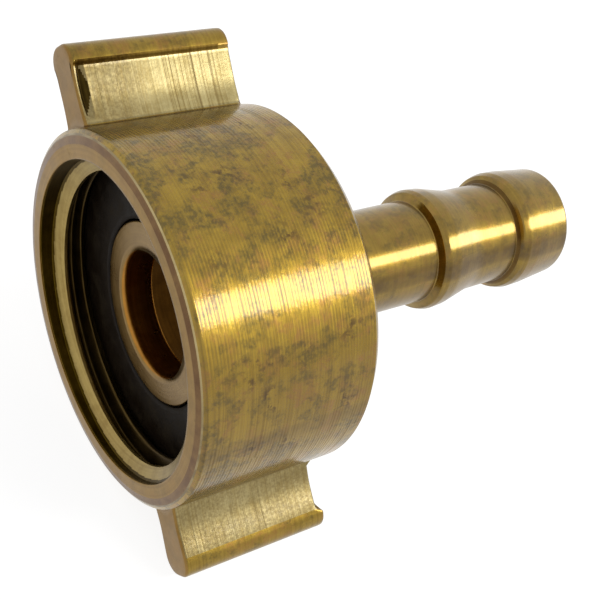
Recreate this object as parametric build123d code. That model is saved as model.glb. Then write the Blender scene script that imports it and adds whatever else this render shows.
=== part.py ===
"""Hose tail with a swivelling wing nut, a pipe fitting turned from brass.

Three separate pieces on one axis:
  wing_nut        turned barrel with two wings, threaded inside its mouth
  sealing_washer  flat rubber ring caught behind the nut's thread
  hose_tail       turned tube with a nose, a flange, a collar and two hose barbs

Frame: millimetres. +X runs along the common axis from the nut's mouth to the tail's tip,
+Z is up, and the origin is on the axis where the nut's thread begins, just inside the
mouth. The fitting lies on its side, on the nut's barrel and the tip of one wing.
"""
from build123d import *
import math
import os

# Pipe thread in the nut's mouth: 3/4 inch parallel pipe thread, 14 turns to the inch
THREAD_MAJOR_RADIUS = 13.22
THREAD_MINOR_RADIUS = 12.06
THREAD_LENGTH = 2.75         # from the lead-in to the relief behind the thread
LEAD_IN_DEPTH = 1.1          # countersink at the mouth, from the major to the minor radius
RELIEF_DEPTH = 0.1           # radial cut of the relief past the thread's major radius

# Nut
NUT_RADIUS = 15.5
NUT_LENGTH = 16.0
RIM_BEVEL_WIDTH = 0.5        # worn bevel round the mouth's face, across the radius
RIM_BEVEL_DEPTH = 0.2       # and along the axis
REAR_CHAMFER = 0.7
REAR_HOLE_BREAK = 0.4        # chamfer at the hole's outer edge

# Wings of the nut
WING_TIP_RADIUS = 21.9       # from the axis to the tip
WING_ROOT_WIDTH = 4.1        # thickness at the flank's foot, inside the barrel
WING_ROOT_DEPTH = 2.0        # how far inside
WING_WAIST_WIDTH = 3.5       # thinnest, a little way out
WING_BEAD_WIDTH = 3.85       # thicker again towards the tip
WING_WAIST_SHARE = 0.38      # how far out the waist lies, root to bead
WING_TIP_ROUND = 1.5
WING_ROOT_FILLET = 0.8
WING_FRONT_SETBACK = 1.3     # wing ends stop short of the barrel's ends
WING_REAR_SETBACK = 0.7
WING_EDGE_BREAK = 0.3

# Sealing washer
WASHER_THICKNESS = 2.6
WASHER_EDGE_BREAK = 0.25
WASHER_OUTER_PLAY = 0.27     # radial, in the nut's relief
WASHER_BORE_PLAY = 0.15      # radial, round the tail's nose
WASHER_FRONT_GAP = 0.25      # behind the end of the thread
WASHER_BACK_GAP = 0.1        # ahead of the flange

# Head of the tail
NOSE_RADIUS = 7.8
NOSE_PROUD = 0.05            # nose face ahead of the washer's face
NOSE_EDGE_BREAK = 0.25
NOSE_BORE_RADIUS = 5.4
NOSE_BORE_DEPTH = 2.8
FLANGE_PASS = 0.2            # radial, so that the flange goes in through the thread
FLANGE_THICKNESS = 3.2
SEAT_GAP = 0.1               # behind the flange, ahead of the nut's inner shoulder
FLANGE_EDGE_BREAK = 0.3
COLLAR_RADIUS = 6.2
COLLAR_INSET = 0.6           # the collar ends inside the nut's rear face
RUNNING_CLEARANCE = 0.08     # radial, collar in the nut's rear hole

# Hose end of the tail
WATERWAY_RADIUS = 3.3
NECK_RADIUS = 4.8
BARB_RADIUS = 5.7            # over the crests, for hose of 10 mm bore
NECK_LENGTH = 15.15          # collar to the first barb's shoulder
FIRST_SHOULDER = 0.8         # each barb's steep face towards the nut, along the axis
FIRST_LAND = 1.55
FIRST_TAPER = 3.1            # from the land back to the neck
SECOND_NECK = 4.2            # between the barbs
SECOND_SHOULDER = 1.3
SECOND_LAND = 1.1
TIP_TAPER = 4.3              # from the second land to the rounded tip
TIP_RADIUS = 5.25
TIP_ROUND = 0.6
TIP_LENGTH = 0.55            # rounded end past the taper
TAPER_BLEND = 3.0            # hollow blend where the first taper meets the neck

# Places along the axis and radii worked out from the sizes
mouth_x = -LEAD_IN_DEPTH
nut_back = mouth_x + NUT_LENGTH
relief_radius = THREAD_MAJOR_RADIUS + RELIEF_DEPTH
washer_front = THREAD_LENGTH + WASHER_FRONT_GAP
washer_back = washer_front + WASHER_THICKNESS
nose_x = washer_front - NOSE_PROUD
waterway_front = nose_x + NOSE_BORE_DEPTH + NOSE_BORE_RADIUS - WATERWAY_RADIUS
flange_radius = THREAD_MINOR_RADIUS - FLANGE_PASS
flange_front = washer_back + WASHER_BACK_GAP
flange_back = flange_front + FLANGE_THICKNESS
seat_x = flange_back + SEAT_GAP
collar_end = nut_back - COLLAR_INSET
rear_hole_radius = COLLAR_RADIUS + RUNNING_CLEARANCE
shoulder_1 = collar_end + NECK_LENGTH
crest_1 = shoulder_1 + FIRST_SHOULDER
taper_1 = crest_1 + FIRST_LAND
neck_2 = taper_1 + FIRST_TAPER
shoulder_2 = neck_2 + SECOND_NECK
crest_2 = shoulder_2 + SECOND_SHOULDER
taper_2 = crest_2 + SECOND_LAND
tip_taper_end = taper_2 + TIP_TAPER
tip_x = tip_taper_end + TIP_LENGTH

# The lower wing leans until a rounded corner of its tip and the barrel touch one flat surface
tip_round_out = WING_TIP_RADIUS - WING_TIP_ROUND
tip_round_aside = WING_BEAD_WIDTH / 2 - WING_TIP_ROUND
wing_lean = (math.acos((NUT_RADIUS - WING_TIP_ROUND) / math.hypot(tip_round_out, tip_round_aside))
             + math.atan2(tip_round_aside, tip_round_out))


def turned(points, rounds=()):
    """Solid of revolution about X from (x, radius) points; rounds are (index, radius)."""
    outline = make_face(Polyline(*[(x, r, 0) for x, r in points], close=True))
    for index, radius in rounds:
        corner = outline.vertices().sort_by_distance((*points[index], 0))[0]
        outline = fillet(corner, radius)
    return revolve(outline, Axis.X, 360)


def nut_blank():
    """Barrel with no hole: bevelled rim in front and chamfer behind."""
    return turned([
        (mouth_x, 0),
        (mouth_x, NUT_RADIUS - RIM_BEVEL_WIDTH),
        (mouth_x + RIM_BEVEL_DEPTH, NUT_RADIUS),
        (nut_back - REAR_CHAMFER, NUT_RADIUS),
        (nut_back, NUT_RADIUS - REAR_CHAMFER),
        (nut_back, 0),
    ])


def wing_section():
    """One wing across the axis, pointing along +Y of the sketch, root inside the barrel."""
    bead_y = WING_TIP_RADIUS - WING_BEAD_WIDTH / 2
    waist_y = NUT_RADIUS + WING_WAIST_SHARE * (bead_y - NUT_RADIUS)
    foot_y = NUT_RADIUS - WING_ROOT_DEPTH

    def flank(side):
        return ThreePointArc(
            (side * WING_ROOT_WIDTH / 2, foot_y),
            (side * WING_WAIST_WIDTH / 2, waist_y),
            (side * WING_BEAD_WIDTH / 2, bead_y),
        )

    right, left = flank(1), flank(-1)
    tip = Polyline(right @ 1, (WING_BEAD_WIDTH / 2, WING_TIP_RADIUS),
                   (-WING_BEAD_WIDTH / 2, WING_TIP_RADIUS), left @ 1)
    return make_face([right, tip, left, Line(left @ 0, right @ 0)])


def wing():
    """The lower wing, leaning out to one side, its foot inside the barrel."""
    length = NUT_LENGTH - WING_FRONT_SETBACK - WING_REAR_SETBACK
    block = extrude(wing_section(), length)
    tips = block.edges().filter_by(Axis.Z).group_by(Axis.Y)[-1]
    block = fillet(tips, WING_TIP_ROUND)
    ends = block.edges().group_by(Axis.Z)[0] + block.edges().group_by(Axis.Z)[-1]
    block = chamfer([e for e in ends if e.center().Y > NUT_RADIUS - WING_EDGE_BREAK], WING_EDGE_BREAK)
    lean = Rot(X=180 - math.degrees(wing_lean))
    return Pos(X=mouth_x + WING_FRONT_SETBACK) * lean * Rot(X=90) * Rot(Y=90) * block


def nut_hollow():
    """Everything cut from the nut on its axis: lead-in, thread, relief and rear hole."""
    return turned([
        (mouth_x, 0),
        (mouth_x, THREAD_MAJOR_RADIUS),
        (0, THREAD_MINOR_RADIUS),
        (THREAD_LENGTH, THREAD_MINOR_RADIUS),
        (THREAD_LENGTH, relief_radius),
        (seat_x, relief_radius),
        (seat_x, rear_hole_radius),
        (nut_back - REAR_HOLE_BREAK, rear_hole_radius),
        (nut_back, rear_hole_radius + REAR_HOLE_BREAK),
        (nut_back, 0),
    ])


def wing_nut():
    lower_wing = wing()
    nut = nut_blank() + lower_wing + Rot(X=180) * lower_wing
    roots = [e for e in nut.edges().filter_by(Axis.X)
             if abs(math.hypot(e.center().Y, e.center().Z) - NUT_RADIUS) < WING_EDGE_BREAK / 10
             and abs(e.center().Z) > WING_ROOT_WIDTH]
    return fillet(roots, WING_ROOT_FILLET) - nut_hollow()


def sealing_washer():
    outer = relief_radius - WASHER_OUTER_PLAY
    inner = NOSE_RADIUS + WASHER_BORE_PLAY
    return turned([
        (washer_front, inner),
        (washer_front, outer - WASHER_EDGE_BREAK),
        (washer_front + WASHER_EDGE_BREAK, outer),
        (washer_back - WASHER_EDGE_BREAK, outer),
        (washer_back, outer - WASHER_EDGE_BREAK),
        (washer_back, inner),
    ])


def hose_tail():
    points = [
        (nose_x, NOSE_BORE_RADIUS),
        (nose_x, NOSE_RADIUS - NOSE_EDGE_BREAK),
        (nose_x + NOSE_EDGE_BREAK, NOSE_RADIUS),
        (flange_front, NOSE_RADIUS),
        (flange_front, flange_radius - FLANGE_EDGE_BREAK),
        (flange_front + FLANGE_EDGE_BREAK, flange_radius),
        (flange_back - FLANGE_EDGE_BREAK, flange_radius),
        (flange_back, flange_radius - FLANGE_EDGE_BREAK),
        (flange_back, COLLAR_RADIUS),
        (collar_end, COLLAR_RADIUS),
        (collar_end, NECK_RADIUS),
        (shoulder_1, NECK_RADIUS),
        (crest_1, BARB_RADIUS),
        (taper_1, BARB_RADIUS),
        (neck_2, NECK_RADIUS),
        (shoulder_2, NECK_RADIUS),
        (crest_2, BARB_RADIUS),
        (taper_2, BARB_RADIUS),
        (tip_taper_end, TIP_RADIUS),
        (tip_x, TIP_RADIUS - TIP_ROUND),
        (tip_x, WATERWAY_RADIUS),
        (waterway_front, WATERWAY_RADIUS),
        (nose_x + NOSE_BORE_DEPTH, NOSE_BORE_RADIUS),
    ]
    return turned(points, [(14, TAPER_BLEND), (18, TIP_ROUND)])


PIECES = {
    "wing_nut": wing_nut,
    "sealing_washer": sealing_washer,
    "hose_tail": hose_tail,
}

os.makedirs("parts", exist_ok=True)
for name, make in PIECES.items():
    export_step(make(), f"parts/{name}.step")
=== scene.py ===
"""Studio scene of the hose tail with its wing nut and washer, in the CAD frame.

Sizes are in millimetres until mesh() turns them into metres. +X runs along the axis from
the nut's mouth to the tail's tip, and the origin is where the nut's thread begins. Radii are
taken from that axis. The nut's skin is laid out by (out, aside): out runs along the lower
wing and aside across it, so the upper wing has a negative out.
"""
import math

import bpy
from mathutils import Matrix, Vector


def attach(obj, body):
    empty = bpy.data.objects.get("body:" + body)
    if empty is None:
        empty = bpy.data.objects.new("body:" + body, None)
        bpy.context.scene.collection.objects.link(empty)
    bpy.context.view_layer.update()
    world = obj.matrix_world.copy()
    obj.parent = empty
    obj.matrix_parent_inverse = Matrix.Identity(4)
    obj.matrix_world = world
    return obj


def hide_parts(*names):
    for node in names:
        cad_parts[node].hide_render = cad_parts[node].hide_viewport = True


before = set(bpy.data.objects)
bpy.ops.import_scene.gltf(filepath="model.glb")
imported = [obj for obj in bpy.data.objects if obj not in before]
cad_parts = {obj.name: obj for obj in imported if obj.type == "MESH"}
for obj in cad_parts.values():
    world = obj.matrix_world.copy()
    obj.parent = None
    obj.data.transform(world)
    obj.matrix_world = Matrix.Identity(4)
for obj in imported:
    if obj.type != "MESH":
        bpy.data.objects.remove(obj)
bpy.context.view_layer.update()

MM = 0.001

# Nut: places along the axis, then radii
MOUTH = -1.1
THREAD_END = 2.75
SEAT = 9.0
BACK = 14.9
BARREL = 15.5
MINOR = 12.06
MAJOR = 13.22
RELIEF = 13.32
HOLE = 6.28
CHAMFER = 0.7
HOLE_BREAK = 0.4

# Rim: radii where its flat face ends, where the bevel turns to the rounded edge, and
# between which a painted highlight lies along that crease
FACE_END = 14.4
CREASE = 15.05
PAINTED_GLINT_FROM, PAINTED_GLINT_TO = 14.98, 15.12
BEVEL_DEPTH = 0.12
RIM_DEPTH = 0.4

# Thread: azimuths in degrees from +Y towards +Z, and the rest in mm or as a share
PITCH = 1.814
START_AZIMUTH = 100
FADE_IN = 0.10              # of a turn from the start
CREST_AZIMUTH = 333         # there the middle of the first crest is at CREST_X
CREST_X = 0.75
CREST_SHARE = 0.165         # of half a pitch from the crest's middle, flat
ROOT_SHARE = 0.83           # where the flank reaches the root
ROOT_RISE = 0.8             # above this share of the depth the wall gets the root's painted shade
LEAD_RADIUS = 13.25         # countersink at the mouth
LEAD_FLAT = 0.12            # along the axis before it narrows
LEAD_SLOPE = 2.2            # of radius to a millimetre along the axis
RUN_OUT = 0.4               # along the axis, from the thread's crest to the relief
DARK_FROM = 1.35            # behind this the wall gets the painted shade of the relief

# Wings: half widths, and places along the axis or out from it
LEAN = math.radians(47.87)
WING_FRONT = 0.2
WING_REAR = 14.2
TIP = 21.9
TIP_ROUND = 1.5
FOOT = 1.92
WAIST = 1.75
WAIST_SHARE = 0.45          # of the flank, from its foot to the waist
BEAD = 1.925
ROOT_FILLET = 0.4
STEP = 0.42                 # the upper bead's step, along the flank
SWELL_FROM = 17.5           # the lower wing widens softly from here to its bead
SETBACK = 0.7               # of the lower flank's rear end, ahead of its bead
SETBACK_RUN = 3.0           # along the axis, to full set-back
EDGE = 0.25                 # rounding of the wings' end faces
END_RUN = 1.3               # from an end face to the even rings of the flank
FLANK_END = TIP - 1.9       # flank's finish stops here
BEAD_SHADE_FROM, BEAD_SHADE_TO = TIP - 1.97, TIP - 1.3      # painted shade under the upper bead's step
NICK_MIDDLE, NICK_HALF = 18.1, 2.15     # out along the upper wing
NICK_REACH = 0.75           # how far back its face of painted shade goes midway
NICK_START, NICK_DEPTH = 0.1, 0.45      # at the rounded edge, and at its deepest
NICK_LIP = 0.06

# Mesh
COLUMNS = 54                # on a quarter of the barrel
FILLET_STEPS = 8
FLANK_STEPS = 18
BEAD_STEPS = 6
TIP_STEPS = 10
WING_FROM = 0.5             # above the barrel a column follows the wing alone

# Slots of the nut's and the tail's materials
SIDE, FACE, SHADED_INSIDE, CREST, FLANK, NICK_SHADE, SHADED_BEVEL, END, PAINTED_GLINT, SHADED_ROOT, BEAD_SHADE, WING = range(12)
TAIL_SIDE, TAIL_FACE, NOSE_BORE, SHADED_WATERWAY, SHADED_SHOULDER = range(5)


# ---------------------------------------------------------------- camera
def make_camera():
    """Camera as fitted to the outlines: about 0.09 m away, looking down at the mouth."""
    data = bpy.data.cameras.new("camera")
    data.sensor_width = 36.0
    data.lens = 65.09
    data.shift_y = 0.15
    data.clip_start = 0.005
    camera = bpy.data.objects.new("camera", data)
    place = Vector((-33.180, -49.646, 65.627)) * MM
    right = Vector((0.82554, -0.50023, 0.26125))
    up = Vector((0.25814, 0.74638, 0.61341))
    back = Vector((-0.50184, -0.43896, 0.7453))
    turn = Matrix((right, up, back)).transposed()
    camera.matrix_world = Matrix.Translation(place) @ turn.to_4x4()
    bpy.context.scene.collection.objects.link(camera)
    bpy.context.scene.camera = camera


# ---------------------------------------------------------------- node helpers
class Nodes:
    """Short ways to add shader nodes to one material."""

    def __init__(self, name):
        self.material = bpy.data.materials.new(name)
        self.material.use_nodes = True
        self.tree = self.material.node_tree
        self.tree.nodes.clear()
        self.out = self.tree.nodes.new("ShaderNodeOutputMaterial")

    def add(self, kind, **settings):
        node = self.tree.nodes.new("ShaderNode" + kind)
        for key, value in settings.items():
            setattr(node, key, value)
        return node

    def link(self, source, target):
        self.tree.links.new(source, target)

    def put(self, value, socket):
        if isinstance(value, bpy.types.NodeSocket):
            self.link(value, socket)
        else:
            socket.default_value = value

    def math(self, op, a, b=0.0):
        node = self.add("Math", operation=op)
        self.put(a, node.inputs[0])
        self.put(b, node.inputs[1])
        return node.outputs[0]

    def plus(self, a, b):
        return self.math("ADD", a, b)

    def times(self, a, b):
        return self.math("MULTIPLY", a, b)

    def most(self, a, b):
        return self.math("MAXIMUM", a, b)

    def position(self):
        return self.add("TexCoord").outputs["Object"]

    def scaled(self, vector, scale, offset=(0, 0, 0)):
        node = self.add("Mapping")
        self.link(vector, node.inputs["Vector"])
        node.inputs["Scale"].default_value = scale
        node.inputs["Location"].default_value = offset
        return node.outputs[0]

    def noise(self, vector, scale=1.0, detail=3.0, rough=0.5, distort=0.0):
        node = self.add("TexNoise")
        self.link(vector, node.inputs["Vector"])
        node.inputs["Scale"].default_value = scale
        node.inputs["Detail"].default_value = detail
        node.inputs["Roughness"].default_value = rough
        node.inputs["Distortion"].default_value = distort
        return node.outputs["Fac"]

    def spread(self, value, low, high, to_low=0.0, to_high=1.0):
        """Smooth ramp from to_low at low to to_high at high."""
        node = self.add("MapRange", interpolation_type="SMOOTHSTEP")
        self.link(value, node.inputs["Value"])
        node.inputs["From Min"].default_value = low
        node.inputs["From Max"].default_value = high
        node.inputs["To Min"].default_value = to_low
        node.inputs["To Max"].default_value = to_high
        return node.outputs["Result"]

    def mix(self, factor, a, b):
        node = self.add("Mix", data_type="RGBA")
        self.put(factor, node.inputs["Factor"])
        self.put(a, node.inputs["A"])
        self.put(b, node.inputs["B"])
        return node.outputs["Result"]

    def bump(self, height, distance, strength=1.0):
        node = self.add("Bump")
        node.inputs["Strength"].default_value = strength
        node.inputs["Distance"].default_value = distance
        self.link(height, node.inputs["Height"])
        return node.outputs[0]


# ---------------------------------------------------------------- brass and rubber
REDDISH = (0.27, 0.13, 0.025, 1)
GREENISH = (0.083, 0.058, 0.008, 1)
SOOT_AND_SHADE_SHARE = (0.42, 0.36, 0.30)     # of the dull colour, where the brass is dirty and where shade is painted
ROUND_SCALE = 0.0035                # metres of noise to a radian round the axis


def mottled(n, at, colour, pits, amount):
    """Old reddish and greenish patches over a colour, broken up by the pits."""
    grit = n.spread(pits, 0.38, 0.62, 0.35, 1.0)
    for tint, offset, scale, low, high in ((REDDISH, (0.031, 0.012, 0.007), 560.0, 0.48, 0.62),
                                           (GREENISH, (0.013, 0.052, 0.021), 430.0, 0.46, 0.60)):
        patches = n.noise(n.scaled(at, (1, 1, 1), offset), scale=scale, detail=5.0, rough=0.7)
        colour = n.mix(n.times(n.spread(patches, low, high, 0.0, amount), grit), colour, tint)
    return colour


def blasted(n, at, run, height, soot_and_shade, amount):
    """A wing's front end dulled by blasting, over more of the lower wing; it hides dirt and painted
    shade there.
    """
    lower = n.spread(height, 2 * MM, -2 * MM, 0.0, 10 * MM)
    front = n.spread(n.math("SUBTRACT", run, lower), 8.0 * MM, 3.5 * MM)
    grains = n.noise(at, scale=4200.0, detail=2.0, rough=0.6)
    dust = n.times(front, n.spread(grains, 0.32, 0.68, amount, 0.45 * amount))
    return n.most(n.times(soot_and_shade, n.spread(front, 0.0, 1.0, 1.0, 0.5)), dust)


def machined(name, dull, bright, rough, ridge, along="x", grain=0.002, coat=0.25, coarse=0.0,
             streaks=0.0, mottle=0.0, lined=0.0, sandy=0.0, stains=(), painted_shade_stripes=()):
    """Turned or milled brass.

    Tool marks vary along X (along="x") or along the radius ("r"). ridge is (pitch, height) of
    the regular marks in mm, coarse the height of broad uneven ones, grain that of the fine
    pitting. streaks darkens the fine marks, and lined makes the regular ones duller. mottle is
    how far old reddish and greenish patches show, and sandy how far a wing's front end is
    dulled by blasting. stains are (x, y, z, reach) of dark patches in mm, and
    painted_shade_stripes (azimuth, half width, depth) of stripes of painted shade along the
    axis, in degrees.
    """
    n = Nodes(name)
    at = n.position()
    split = n.add("SeparateXYZ")
    n.link(at, split.inputs[0])
    x, y, z = split.outputs
    angle = n.math("ARCTAN2", z, y)
    run = x
    if along == "r":
        run = n.math("SQRT", n.plus(n.math("POWER", y, 2.0), n.math("POWER", z, 2.0)))
    # Noise that runs with the tool marks, and below it cloudy noise from coarse to fine. Their
    # scales are to a metre, and the shares and limits are given
    lines = n.add("CombineXYZ")
    n.link(run, lines.inputs[0])
    n.link(n.times(angle, ROUND_SCALE), lines.inputs[1])
    fine = n.noise(n.scaled(lines.outputs[0], (5200, 150, 1)), detail=2.0, rough=0.6)
    broad = n.noise(n.scaled(lines.outputs[0], (1500, 120, 1)), detail=3.0, rough=0.65)
    pitch, height = ridge
    phase = n.plus(n.times(run, 2 * math.pi / (pitch * MM)), n.times(broad, 2.2))
    wave = n.times(n.math("SINE", phase), n.spread(fine, 0.25, 0.75, 0.35, 1.0))
    cloud = n.noise(at, scale=190.0, detail=5.0, rough=0.62, distort=0.4)
    spots = n.noise(at, scale=760.0, detail=5.0, rough=0.72)
    specks = n.noise(at, scale=1300.0, detail=3.0, rough=0.6)
    pits = n.noise(at, scale=2600.0, detail=3.0, rough=0.6)

    tone = n.plus(n.times(fine, 0.35), n.plus(n.times(cloud, 0.25), n.times(spots, 0.4)))
    colour = n.mix(n.spread(tone, 0.36, 0.64), (*dull, 1), (*bright, 1))
    if mottle:
        colour = mottled(n, at, colour, pits, mottle)

    # Dark spots of dirt; the stripes of painted shade below join this same mask
    soot_and_shade = n.spread(spots, 0.60, 0.76, 0.0, 0.45)
    if streaks:
        soot_and_shade = n.most(soot_and_shade, n.spread(fine, 0.46, 0.34, 0.0, streaks))
    # Stripes of painted shade along the axis, broken up by the spots
    for azimuth, half, depth in painted_shade_stripes:
        off = n.math("COSINE", n.math("SUBTRACT", angle, math.radians(azimuth)))
        stripe = n.spread(off, math.cos(math.radians(half)), 1.0, 0.0, depth)
        soot_and_shade = n.most(soot_and_shade, n.times(stripe, n.spread(spots, 0.35, 0.6, 0.55, 1.0)))
    if sandy:
        soot_and_shade = blasted(n, at, run, z, soot_and_shade, sandy)
    for *middle, reach in stains:
        away = n.add("VectorMath", operation="DISTANCE")
        n.link(at, away.inputs[0])
        away.inputs[1].default_value = [c * MM for c in middle]
        near = n.spread(away.outputs["Value"], reach * MM, 0.15 * reach * MM)
        speckle = n.times(n.spread(specks, 0.46, 0.60), n.spread(spots, 0.40, 0.58, 0.2, 1.0))
        soot_and_shade = n.most(soot_and_shade, n.times(near, speckle))
    # One darker colour for the dirt and for the painted shade
    dirt_and_shade_colour = tuple(c * share for c, share in zip(dull, SOOT_AND_SHADE_SHARE))
    colour = n.mix(soot_and_shade, colour, (*dirt_and_shade_colour, 1))

    worn = n.plus(n.spread(cloud, 0.3, 0.7, rough * 0.85, rough * 1.15), n.times(soot_and_shade, 0.2))
    if lined:
        uneven = n.times(n.math("SUBTRACT", fine, 0.5), 2.6)
        line = n.spread(n.plus(n.times(wave, 0.6), uneven), 0.15, -0.55, 0.0, lined)
        worn = n.plus(worn, n.times(line, 0.36))

    relief = n.plus(n.times(wave, height), n.times(fine, height * 0.8))
    if coarse:
        relief = n.plus(relief, n.times(broad, coarse))
    relief = n.plus(relief, n.times(pits, grain))
    relief = n.plus(relief, n.times(spots, grain * 2.0))
    normal = n.bump(relief, MM)

    shader = n.add("BsdfPrincipled")
    n.link(colour, shader.inputs["Base Color"])
    shader.inputs["Metallic"].default_value = 1.0
    n.link(worn, shader.inputs["Roughness"])
    shader.inputs["Coat Weight"].default_value = coat
    shader.inputs["Coat Roughness"].default_value = rough * 0.55
    shader.inputs["Coat IOR"].default_value = 2.0
    n.link(normal, shader.inputs["Normal"])
    n.link(normal, shader.inputs["Coat Normal"])
    n.link(shader.outputs[0], n.out.inputs["Surface"])
    return n.material


def rubber(name):
    """Black rubber with a little brown dust."""
    n = Nodes(name)
    at = n.position()
    dust = n.noise(at, scale=600.0, detail=5.0, rough=0.65)
    colour = n.mix(n.spread(dust, 0.45, 0.75), (0.010, 0.006, 0.003, 1), (0.022, 0.015, 0.007, 1))
    shader = n.add("BsdfPrincipled")
    n.link(colour, shader.inputs["Base Color"])
    n.link(n.spread(dust, 0.3, 0.7, 0.40, 0.6), shader.inputs["Roughness"])
    shader.inputs["Specular IOR Level"].default_value = 0.12
    grain = n.noise(at, scale=2500.0, detail=3.0)
    n.link(n.bump(grain, 0.02 * MM, 0.5), shader.inputs["Normal"])
    n.link(shader.outputs[0], n.out.inputs["Surface"])
    return n.material


# ---------------------------------------------------------------- mesh helpers
def smooth(t):
    t = min(1.0, max(0.0, t))
    return t * t * (3 - 2 * t)


def mesh(name, rings, tags, materials):
    """Closed quad mesh from rings of (x, y, z) in mm.

    Each ring joins the next and the last joins the first. tags give each band's material
    slot, or a list of slots, one for each of its faces.
    """
    count = len(rings[0])
    points = [tuple(c * MM for c in p) for ring in rings for p in ring]
    faces, slots = [], []
    for k, tag in enumerate(tags):
        k2 = (k + 1) % len(rings)
        for i in range(count):
            i2 = (i + 1) % count
            faces.append((k * count + i, k * count + i2, k2 * count + i2, k2 * count + i))
            slots.append(tag[i] if isinstance(tag, list) else tag)
    data = bpy.data.meshes.new(name)
    data.from_pydata(points, [], faces)
    for material in materials:
        data.materials.append(material)
    data.polygons.foreach_set("material_index", slots)
    data.polygons.foreach_set("use_smooth", [True] * len(faces))
    data.validate()
    data.update()
    piece = bpy.data.objects.new(name, data)
    bpy.context.scene.collection.objects.link(piece)
    return piece


def rounded(points, steps=4):
    """Polyline of (x, r) from (x, r, radius) corners, each rounded but the first and last.

    radius is that of the corner's rounding, and 0 keeps it sharp.
    """
    out = []
    for k, (x, r, radius) in enumerate(points):
        if k in (0, len(points) - 1) or radius <= 0:
            out.append((x, r))
            continue
        here = Vector((x, r))
        before = Vector(points[k - 1][:2]) - here
        after = Vector(points[k + 1][:2]) - here
        reach = radius / math.tan(before.angle(after) / 2)
        reach = min(reach, before.length * 0.49, after.length * 0.49)
        a = here + before.normalized() * reach
        b = here + after.normalized() * reach
        for j in range(steps + 1):
            t = j / steps
            p = a * (1 - t) ** 2 + here * 2 * t * (1 - t) + b * t ** 2
            out.append((p.x, p.y))
    return out


def filled(points, step):
    """Adds points so that no run of an (x, r) polyline is longer than step."""
    out = [points[0]]
    for a, b in zip(points, points[1:]):
        parts = max(1, math.ceil(math.dist(a, b) / step))
        for j in range(1, parts + 1):
            t = j / parts
            out.append((a[0] + (b[0] - a[0]) * t, a[1] + (b[1] - a[1]) * t))
    return out


# ---------------------------------------------------------------- wing nut
def wing_half(stepped):
    """(out, aside) points from the barrel's side round half of one wing to its tip.

    The bead stands over the flank by a crisp step, or else by a soft widening.
    """
    centre_aside = FOOT + ROOT_FILLET
    centre_out = math.sqrt((BARREL + ROOT_FILLET) ** 2 - centre_aside ** 2)
    start = math.atan2(centre_aside, centre_out)
    top = TIP - TIP_ROUND
    brow = top - STEP
    points = []
    for k in range(COLUMNS):
        a = -math.pi / 2 + (math.pi / 2 - start) * k / COLUMNS
        points.append((BARREL * math.cos(a), BARREL * math.sin(a)))
    for k in range(FILLET_STEPS + 1):
        t = k / FILLET_STEPS
        a = (math.pi - start) * (1 - t) + (math.pi / 2) * t
        points.append((centre_out + ROOT_FILLET * math.cos(a),
                       -centre_aside + ROOT_FILLET * math.sin(a)))
    for k in range(1, FLANK_STEPS + 1):
        t = k / FLANK_STEPS
        width = FOOT + (WAIST - FOOT) * math.sin(math.pi / 2 * min(1, t / WAIST_SHARE))
        points.append((centre_out + (brow - centre_out) * t, -width))
    for k in range(1, BEAD_STEPS + 1):
        points.append((brow + STEP * k / BEAD_STEPS,
                       -WAIST - (BEAD - WAIST) * smooth(k / (BEAD_STEPS - 1))))
    if not stepped:
        rise = STEP * (BEAD_STEPS - 1) / BEAD_STEPS
        points = [(o, a - (BEAD - WAIST) * (smooth((o - SWELL_FROM) / (top - SWELL_FROM))
                                            - smooth((o - brow) / rise)))
                  for o, a in points]
    for k in range(1, TIP_STEPS + 1):
        a = math.pi / 2 * k / TIP_STEPS
        points.append((top + TIP_ROUND * math.sin(a),
                       -(BEAD - TIP_ROUND) - TIP_ROUND * math.cos(a)))
    points.append((TIP, 0.0))
    return points


def nut_outline():
    """(out, aside) points all round the nut: lower wing, then upper wing."""
    def both_sides(half):
        return (half + [(o, -a) for o, a in reversed(half[:-1])])[:-1]

    return both_sides(wing_half(False)) + [(-o, -a) for o, a in both_sides(wing_half(True))]


def turn_to_row(out, aside):
    """(out, aside) to (y, z): out points down along the lower wing, aside up from its flank."""
    return (-math.sin(LEAN) * out - math.cos(LEAN) * aside,
            -math.cos(LEAN) * out + math.sin(LEAN) * aside)


def thread(x, azimuth):
    """Radius and slot of the mouth's wall: right-hand thread with a lead-in, running out."""
    turned = (math.degrees(azimuth) - START_AZIMUTH) / 360 % 1.0
    phase = (x - CREST_X) / PITCH - turned + (CREST_AZIMUTH - START_AZIMUTH) / 360
    share = abs((phase + 0.5) % 1.0 - 0.5) * 2.0 if phase > -0.5 else 1.0
    rise = min(1.0, max(0.0, (share - CREST_SHARE) / (ROOT_SHARE - CREST_SHARE)))
    if phase < 0.5:
        rise = 1 - (1 - rise) * smooth(turned / FADE_IN)
    wall = MINOR + (MAJOR - MINOR) * rise
    lead = LEAD_RADIUS - max(0.0, x - MOUTH - LEAD_FLAT) * LEAD_SLOPE
    leaving = min(1.0, max(0.0, (x - THREAD_END + RUN_OUT) / RUN_OUT))
    radius = max(wall, lead, MINOR + (RELIEF - MINOR) * leaving)
    # The thread's far turns get painted shade
    if x > DARK_FROM:
        return radius, SHADED_INSIDE
    if radius == lead:
        return radius, FACE
    # The thread's root gets painted shade
    return radius, SHADED_ROOT if rise > ROOT_RISE else CREST


def nick(out, aside):
    """Depth share of the nick in the upper wing's front edge: 0 at its ends, 1 midway."""
    if aside <= 1.0:
        return 0.0
    return max(0.0, 1 - ((out + NICK_MIDDLE) / NICK_HALF) ** 2)


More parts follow.
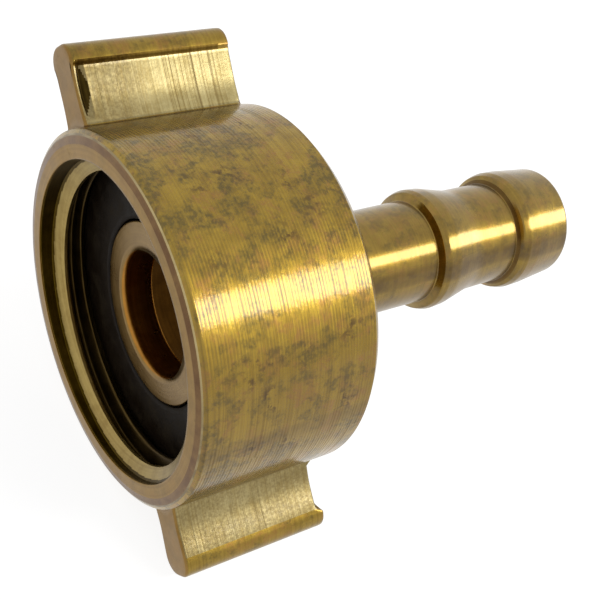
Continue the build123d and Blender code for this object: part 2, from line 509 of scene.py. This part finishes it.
class Skin:
    """Columns of the nut's outer skin: where each stands on the barrel and on the wings."""

    def __init__(self):
        self.full = nut_outline()
        count = len(self.full)
        proud = [max(0.0, math.hypot(o, a) - BARREL) for o, a in self.full]
        self.blend = [min(1.0, e / WING_FROM) for e in proud]
        self.nick = [nick(o, a) for o, a in self.full]
        self.unit = []
        self.inward = []
        # On the barrel a wing's columns stand evenly spaced under its foot
        wing = count // 4 - COLUMNS
        start = math.atan2(-self.full[COLUMNS][1], self.full[COLUMNS][0])
        half = [-math.pi / 2 + (math.pi / 2 - start) * k / COLUMNS for k in range(COLUMNS)]
        half += [-start * (1 - k / wing) for k in range(wing + 1)]
        half += [-a for a in reversed(half[1:-1])]
        for k in range(count):
            turn = half[k % len(half)]
            side = 1 if k < len(half) else -1
            self.unit.append((side * math.cos(turn), side * math.sin(turn)))
            before, after = self.full[k - 1], self.full[(k + 1) % count]
            run = Vector((after[0] - before[0], after[1] - before[1])).normalized()
            self.inward.append((-run.y, run.x))

    def circle(self, x, r):
        return [(x, *turn_to_row(r * o, r * a)) for o, a in self.unit]

    def section(self, barrel_x, wing_x, grown=1.0, inset=0.0, dent=0.0):
        """Ring that is at barrel_x on the barrel and at wing_x on the wings.

        grown is how far the wings stand out, 0 to 1, inset moves them in to round their edges,
        and dent is the nick's depth.
        """
        ring = []
        setback = SETBACK * smooth((wing_x - WING_REAR + SETBACK_RUN) / SETBACK_RUN)
        for (o, a), (uo, ua), (io, ia), w, cut in zip(self.full, self.unit, self.inward,
                                                      self.blend, self.nick):
            po = o + io * inset * w
            pa = a + ia * inset * w
            po = uo * BARREL + (po - uo * BARREL) * grown
            pa = ua * BARREL + (pa - ua * BARREL) * grown
            lower = smooth((TIP - TIP_ROUND - po) / 0.6) * smooth((po - BARREL + 0.1) / 0.5)
            x = barrel_x + (wing_x - setback * lower - barrel_x) * w
            ring.append((x, *turn_to_row(po, pa - dent * cut)))
        return ring


def rim_slot(r):
    """Slot of the band that starts at radius r in front."""
    if r < FACE_END:
        return FACE
    # The bevel gets painted shade
    if r < PAINTED_GLINT_FROM:
        return SHADED_BEVEL
    # Past the bevel, a thin crease with a painted highlight
    return PAINTED_GLINT if r < PAINTED_GLINT_TO else SIDE


def rear_slot(x, r):
    """Slot of the band that starts at (x, r) behind the wings or in the rear hole."""
    # Inside the rear hole, on the seat and in the relief: painted shade
    if x < BACK - 0.2 and r < BARREL - 1:
        return SHADED_INSIDE
    return FACE if r < BARREL - CHAMFER else SIDE


def make_nut(materials):
    """One closed skin: rim, wings, back, rear hole, relief, thread and back to the rim.

    While the wings turn an edge, the same rings move on over the barrel by small even steps.
    """
    skin = Skin()
    count = len(skin.full)
    rings, tags = [], []

    def push(ring, tag):
        rings.append(ring)
        tags.append(tag)

    def painted(under, test, slot):
        """Slots of a band with one more laid on the faces whose two columns pass the test."""
        chosen = [test(o, w) for (o, _), w in zip(skin.full, skin.blend)]
        return [slot if chosen[i] and chosen[(i + 1) % count] else under[i] for i in range(count)]

    bare = [SIDE] * count
    end_skin = painted(bare, lambda o, w: w > 0, END)
    wing_skin = painted(bare, lambda o, w: w > 0, WING)
    wing_skin = painted(wing_skin, lambda o, w: w > 0.2 and abs(o) < FLANK_END, FLANK)
    # Painted shade laid under the upper bead's step
    bead_shade_skin = painted(wing_skin, lambda o, w: BEAD_SHADE_FROM < -o < BEAD_SHADE_TO, BEAD_SHADE)

    rim = rounded([(MOUTH, LEAD_RADIUS, 0), (MOUTH, FACE_END, 0.08),
                   (MOUTH + BEVEL_DEPTH, CREASE, 0.12), (MOUTH + RIM_DEPTH, BARREL, 0.2),
                   (WING_FRONT - 0.41, BARREL, 0)])
    for x, r in filled(rim, 0.15):
        push(skin.circle(x, r), rim_slot(r))

    # Wings' front end faces grow from the barrel, then turn by a rounded edge to the flanks
    for k in range(7):
        push(skin.section(WING_FRONT - 0.4 + 0.06 * k, WING_FRONT, k / 6, EDGE), end_skin)
    for k in range(1, 5):
        a = math.pi / 2 * k / 4
        push(skin.section(WING_FRONT + 0.06 * k, WING_FRONT + EDGE * (1 - math.cos(a)), 1.0,
                          EDGE * (1 - math.sin(a)), NICK_START * k / 4),
             end_skin if k < 3 else wing_skin)

    # Fine rings hold the nick, which deepens over 4, fades over 7 and ends in a low lip
    for k in range(1, 13):
        behind = 0.07 * k
        x = WING_FRONT + EDGE + behind
        if k < 5:
            dent = NICK_START + (NICK_DEPTH - NICK_START) * k / 4
        else:
            dent = max(0.0, NICK_DEPTH * (11 - k) / 7)
        if k == 11:
            dent -= NICK_LIP
        # The nick's face gets painted shade
        push(skin.section(x, x, dent=dent),
             [NICK_SHADE if cut * NICK_REACH > behind and slot == FLANK else slot
              for cut, slot in zip(skin.nick, bead_shade_skin)])

    first = WING_FRONT + END_RUN
    last = WING_REAR - END_RUN
    for k in range(13):
        x = first + (last - first) * k / 12
        push(skin.section(x, x), bead_shade_skin)

    # The same at the wings' rear end
    for k in range(1, 5):
        push(skin.section(last + 0.2 * k, last + 0.225 * k), wing_skin)
    for k in range(1, 5):
        a = math.pi / 2 * k / 4
        push(skin.section(last + 0.8 + 0.04 * k, WING_REAR - EDGE * (1 - math.sin(a)), 1.0,
                          EDGE * (1 - math.cos(a))), wing_skin)
    for k in range(1, 7):
        push(skin.section(last + 0.96 + 0.04 * k, WING_REAR, 1 - k / 6, EDGE),
             end_skin if k < 6 else SIDE)

    rear = rounded([(BACK - CHAMFER - 0.07, BARREL, 0), (BACK - CHAMFER, BARREL, 0.15),
                    (BACK, BARREL - CHAMFER, 0.15), (BACK, HOLE + HOLE_BREAK, 0.05),
                    (BACK - HOLE_BREAK, HOLE, 0.05), (SEAT, HOLE, 0.05),
                    (SEAT, RELIEF, 0.2), (THREAD_END + 0.1, RELIEF, 0)])
    for x, r in filled(rear, 0.8):
        push(skin.circle(x, r), rear_slot(x, r))

    # Wider rings where the thread is out of sight, close ones in front
    hidden = [THREAD_END - 0.09 * k for k in range(16)]
    deep = THREAD_END - 0.09 * 16
    seen = [deep + (MOUTH + 0.01 - deep) * k / 75 for k in range(76)]
    for x in hidden + seen:
        ring, tag = [], []
        for y, z in (turn_to_row(uo, ua) for uo, ua in skin.unit):
            r, slot = thread(x, math.atan2(z, y))
            ring.append((x, r * y, r * z))
            tag.append(slot)
        push(ring, tag)
    return mesh("wing_nut_detail", rings, tags, materials)


# ---------------------------------------------------------------- tail and washer
def lathe(name, profile, segments, tags, materials):
    """Closed solid of revolution about the axis from a closed (x, r) profile."""
    turns = [2 * math.pi * i / segments for i in range(segments)]
    rings = [[(x, r * math.cos(a), r * math.sin(a)) for a in turns] for x, r in profile]
    return mesh(name, rings, tags, materials)


def make_tail(materials):
    """Tail from its nose over the outside to the tip and back through the bore."""
    nose, tip, step_in_bore, second_barb = 2.95, 46.35, 5.75, 39.42
    loop = [
        (nose, 5.4, 0.12), (nose, 7.78, 0.2), (5.7, 7.8, 0.05), (5.7, 11.86, 0.25),
        (8.9, 11.86, 0.25), (8.9, 6.2, 0.05), (14.3, 6.2, 0.1), (14.3, 4.8, 0.1),
        (29.62, 4.8, 0.15), (29.95, 5.52, 0.25), (30.5, 5.7, 0.6), (31.7, 5.62, 3.0),
        (35.0, 4.86, 6.0), (second_barb, 4.8, 0.2), (39.85, 5.52, 0.25), (40.5, 5.7, 0.6),
        (41.8, 5.66, 3.0), (45.8, 5.25, 0.6), (tip, 4.6, 0.35), (tip, 3.3, 0.15),
        (7.85, 3.3, 0.3), (step_in_bore, 5.4, 0.3), (nose, 5.4, 0),
    ]
    profile = filled(rounded(loop, steps=6), 0.6)[:-1]
    last_outside = max(k for k, (x, r) in enumerate(profile) if x > tip - 0.05)

    def slot(k, x):
        # Past the bore's step the waterway gets painted shade
        if k > last_outside:
            return SHADED_WATERWAY if x > step_in_bore + 0.05 else NOSE_BORE
        if x < nose + 0.15 or x > tip - 0.05:
            return TAIL_FACE
        # At the second barb's foot, a crease of painted shade
        return SHADED_SHOULDER if second_barb - 0.02 < x < second_barb + 0.18 else TAIL_SIDE

    tags = [slot(k, x) for k, (x, r) in enumerate(profile)]
    return lathe("hose_tail_detail", profile, 192, tags, materials)


def make_washer(material):
    front, back, inner, outer = 3.0, 5.6, 7.95, 13.05
    loop = [(front, inner, 0.1), (front, outer, 0.3), (back, outer, 0.3), (back, inner, 0.1),
            (front, inner, 0)]
    profile = filled(rounded(loop), 0.5)[:-1]
    return lathe("washer_detail", profile, 160, [0] * len(profile), [material])


# ---------------------------------------------------------------- floor and light
FLOOR_HALF = 2.0            # metres
FLOOR_GREY = 0.3
FLOOR_GLOW = 0.87           # what the floor lacks to white, lit as it is
WORLD_LIGHT = 0.48          # of the world on the object; the eye sees 1.0
AIM = 12.0                  # place on the axis that the lamp faces


def shown_white(tree):
    """1 on rays that come from the camera, a gloss or a glass, so that they see plain white."""
    path = tree.nodes.new("ShaderNodeLightPath")
    seen = path.outputs["Is Camera Ray"]
    for other in ("Is Glossy Ray", "Is Transmission Ray"):
        either = tree.nodes.new("ShaderNodeMath")
        either.operation = "MAXIMUM"
        tree.links.new(seen, either.inputs[0])
        tree.links.new(path.outputs[other], either.inputs[1])
        seen = either.outputs[0]
    return seen


def make_floor():
    n = Nodes("floor_white")
    diffuse = n.add("BsdfDiffuse")
    diffuse.inputs["Color"].default_value = (FLOOR_GREY, FLOOR_GREY, FLOOR_GREY, 1)
    glow = n.add("Emission")
    n.link(n.times(shown_white(n.tree), FLOOR_GLOW), glow.inputs["Strength"])
    both = n.add("AddShader")
    n.link(diffuse.outputs[0], both.inputs[0])
    n.link(glow.outputs[0], both.inputs[1])
    n.link(both.outputs[0], n.out.inputs["Surface"])
    data = bpy.data.meshes.new("floor")
    corners = [(x * FLOOR_HALF, y * FLOOR_HALF, -BARREL * MM)
               for x, y in ((-1, -1), (1, -1), (1, 1), (-1, 1))]
    data.from_pydata(corners, [], [(0, 1, 2, 3)])
    data.materials.append(n.material)
    floor = bpy.data.objects.new("floor", data)
    bpy.context.scene.collection.objects.link(floor)


def make_lamp(name, direction, distance, size, strength):
    """Softbox facing the object, in metres; strength is its radiance, 1 being white."""
    light = bpy.data.lights.new(name, "AREA")
    light.shape = "RECTANGLE"
    light.size, light.size_y = size
    light.energy = strength * math.pi * size[0] * size[1]
    lamp = bpy.data.objects.new(name, light)
    axis = Vector((1, 0, 0))
    back = Vector(direction).normalized()
    side = (axis - axis.project(back)).normalized()
    turn = Matrix((side, back.cross(side), back)).transposed()
    place = Matrix.Translation(back * distance + axis * AIM * MM)
    lamp.matrix_world = place @ turn.to_4x4()
    bpy.context.scene.collection.objects.link(lamp)


def make_world():
    world = bpy.data.worlds.new("studio")
    bpy.context.scene.world = world
    world.use_nodes = True
    tree = world.node_tree
    tree.nodes.clear()
    out = tree.nodes.new("ShaderNodeOutputWorld")
    ground = tree.nodes.new("ShaderNodeBackground")
    level = tree.nodes.new("ShaderNodeMapRange")
    level.inputs["To Min"].default_value = WORLD_LIGHT
    level.inputs["To Max"].default_value = 1.0
    ground.inputs["Color"].default_value = (1, 1, 1, 1)
    tree.links.new(shown_white(tree), level.inputs["Value"])
    tree.links.new(level.outputs[0], ground.inputs["Strength"])
    tree.links.new(ground.outputs[0], out.inputs["Surface"])


# ---------------------------------------------------------------- finishes
STAINS = (
    (3.2, -1.2, 15.5, 1.8), (5.5, -1.2, 15.5, 1.8), (9.7, -1.5, 15.4, 1.6),
    (10.2, -3.0, 15.2, 1.5), (8.1, -6.7, 14.0, 2.2), (11.2, -4.8, 14.7, 1.8),
    (10.1, 4.0, 15.0, 1.5), (5.2, 3.6, 15.1, 1.2), (3.2, -13.3, 7.9, 2.4),
    (4.5, -14.4, 5.7, 2.6), (7.1, -15.5, 0.8, 2.6), (3.4, -15.4, 1.6, 2.0),
    (1.8, -7.2, 13.7, 1.4), (11.7, -12.6, 9.0, 1.8), (11.6, -15.1, 3.5, 2.2),
    (9.6, -15.4, 2.1, 2.0),
)


def nut_materials():
    """In the order of the nut's slots, SIDE to WING."""
    return [
        # Barrel: its stripes are painted shade, a darker underside and a narrow dark band near the
        # bottom
        machined("nut_barrel", (0.212, 0.126, 0.005), (0.345, 0.221, 0.016), 0.22, (0.28, 0.0018),
                 grain=0.006, coat=0.29, mottle=0.8, lined=1.0, stains=STAINS,
                 painted_shade_stripes=((165, 32, 0.35), (173, 5, 0.6))),
        machined("nut_face", (0.210, 0.120, 0.026), (0.305, 0.182, 0.043), 0.33, (0.5, 0.001),
                 along="r", coat=0.0, mottle=0.2),
        # Painted shade: near-black brass for the thread's far turns, the relief, the seat and the
        # rear hole
        machined("nut_inside_painted_shade", (0.042, 0.025, 0.0066), (0.083, 0.054, 0.017), 0.4, (0.45, 0.002),
                 coat=0.0),
        machined("thread_crest", (0.249, 0.166, 0.042), (0.398, 0.290, 0.091), 0.35, (0.4, 0.001),
                 coat=0.1),
        machined("nut_flank", (0.232, 0.170, 0.051), (0.382, 0.314, 0.139), 0.30, (0.55, 0.002),
                 grain=0.007, coat=0.2, coarse=0.05, streaks=0.6, sandy=0.62),
        # Painted shade: near-black brass on the nick's face
        machined("nut_nick_painted_shade", (0.025, 0.015, 0.0033), (0.066, 0.042, 0.0083), 0.45, (0.4, 0.004),
                 coat=0.0),
        # Painted shade: the rim's bevel darkened to red-brown
        machined("nut_bevel_painted_shade", (0.108, 0.048, 0.012), (0.199, 0.108, 0.029), 0.32, (0.4, 0.001),
                 coat=0.1),
        machined("wing_end", (0.207, 0.118, 0.032), (0.280, 0.168, 0.050), 0.36, (0.6, 0.002),
                 grain=0.003, coat=0.0, mottle=0.2),
        # Painted highlight: a pale crease, darkened by painted shade except where the lamp's
        # highlight falls
        machined("rim_edge_painted_highlight", (0.332, 0.249, 0.100), (0.481, 0.382, 0.183), 0.22, (0.4, 0.0005),
                 painted_shade_stripes=((45, 60, 0.9), (195, 66, 0.9))),
        # Painted shade: near-black brass in the thread's root
        machined("thread_root_painted_shade", (0.050, 0.030, 0.0017), (0.100, 0.062, 0.0066), 0.4, (0.4, 0.001),
                 coat=0.0),
        # Painted shade: dark brass under the upper bead's step
        machined("wing_bead_shade", (0.091, 0.051, 0.0083), (0.166, 0.104, 0.021), 0.5, (0.6, 0.002),
                 coat=0.0, sandy=0.9),
        machined("wing_side", (0.191, 0.115, 0.0066), (0.307, 0.198, 0.022), 0.30, (0.28, 0.0004),
                 grain=0.006, coat=0.2, mottle=0.6),
    ]


def tail_materials():
    """In the order of the tail's slots, TAIL_SIDE to SHADED_SHOULDER."""
    return [
        # Tail: its stripes are a painted reflection, a dark band just under the highlight, and
        # painted shade on the underside
        machined("tail_side", (0.183, 0.108, 0.0050), (0.282, 0.178, 0.018), 0.24, (0.35, 0.0008),
                 grain=0.0015, coat=0.28, mottle=0.5, painted_shade_stripes=((157, 14, 0.85), (200, 40, 0.4))),
        machined("tail_face", (0.191, 0.112, 0.029), (0.266, 0.166, 0.050), 0.30, (0.4, 0.001),
                 along="r", coat=0.1),
        machined("nose_bore", (0.25, 0.105, 0.010), (0.42, 0.190, 0.025), 0.3, (0.5, 0.002),
                 coat=0.1),
        # Painted shade: near-black brass deep in the bore
        machined("tail_bore_painted_shade", (0.025, 0.0100, 0.0017), (0.050, 0.021, 0.0033), 0.3, (0.5, 0.002),
                 coat=0.0),
        # Painted shade: dark brass in the crease at the second barb's foot
        machined("tail_shoulder_painted_shade", (0.075, 0.037, 0.0050), (0.133, 0.075, 0.012), 0.35, (0.4, 0.001),
                 coat=0.1),
    ]


# ---------------------------------------------------------------- the scene
make_camera()

nut = make_nut(nut_materials())
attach(nut, "nut")
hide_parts("wing_nut")
tail = make_tail(tail_materials())
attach(tail, "tail")
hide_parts("hose_tail")
washer = make_washer(rubber("washer_rubber_black"))
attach(washer, "tail")
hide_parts("sealing_washer")

make_floor()
make_world()
make_lamp("key", (0.71, -0.48, 0.515), 0.45, (0.48, 0.12), 8.0)
bpy.context.scene.view_settings.view_transform = "Standard"
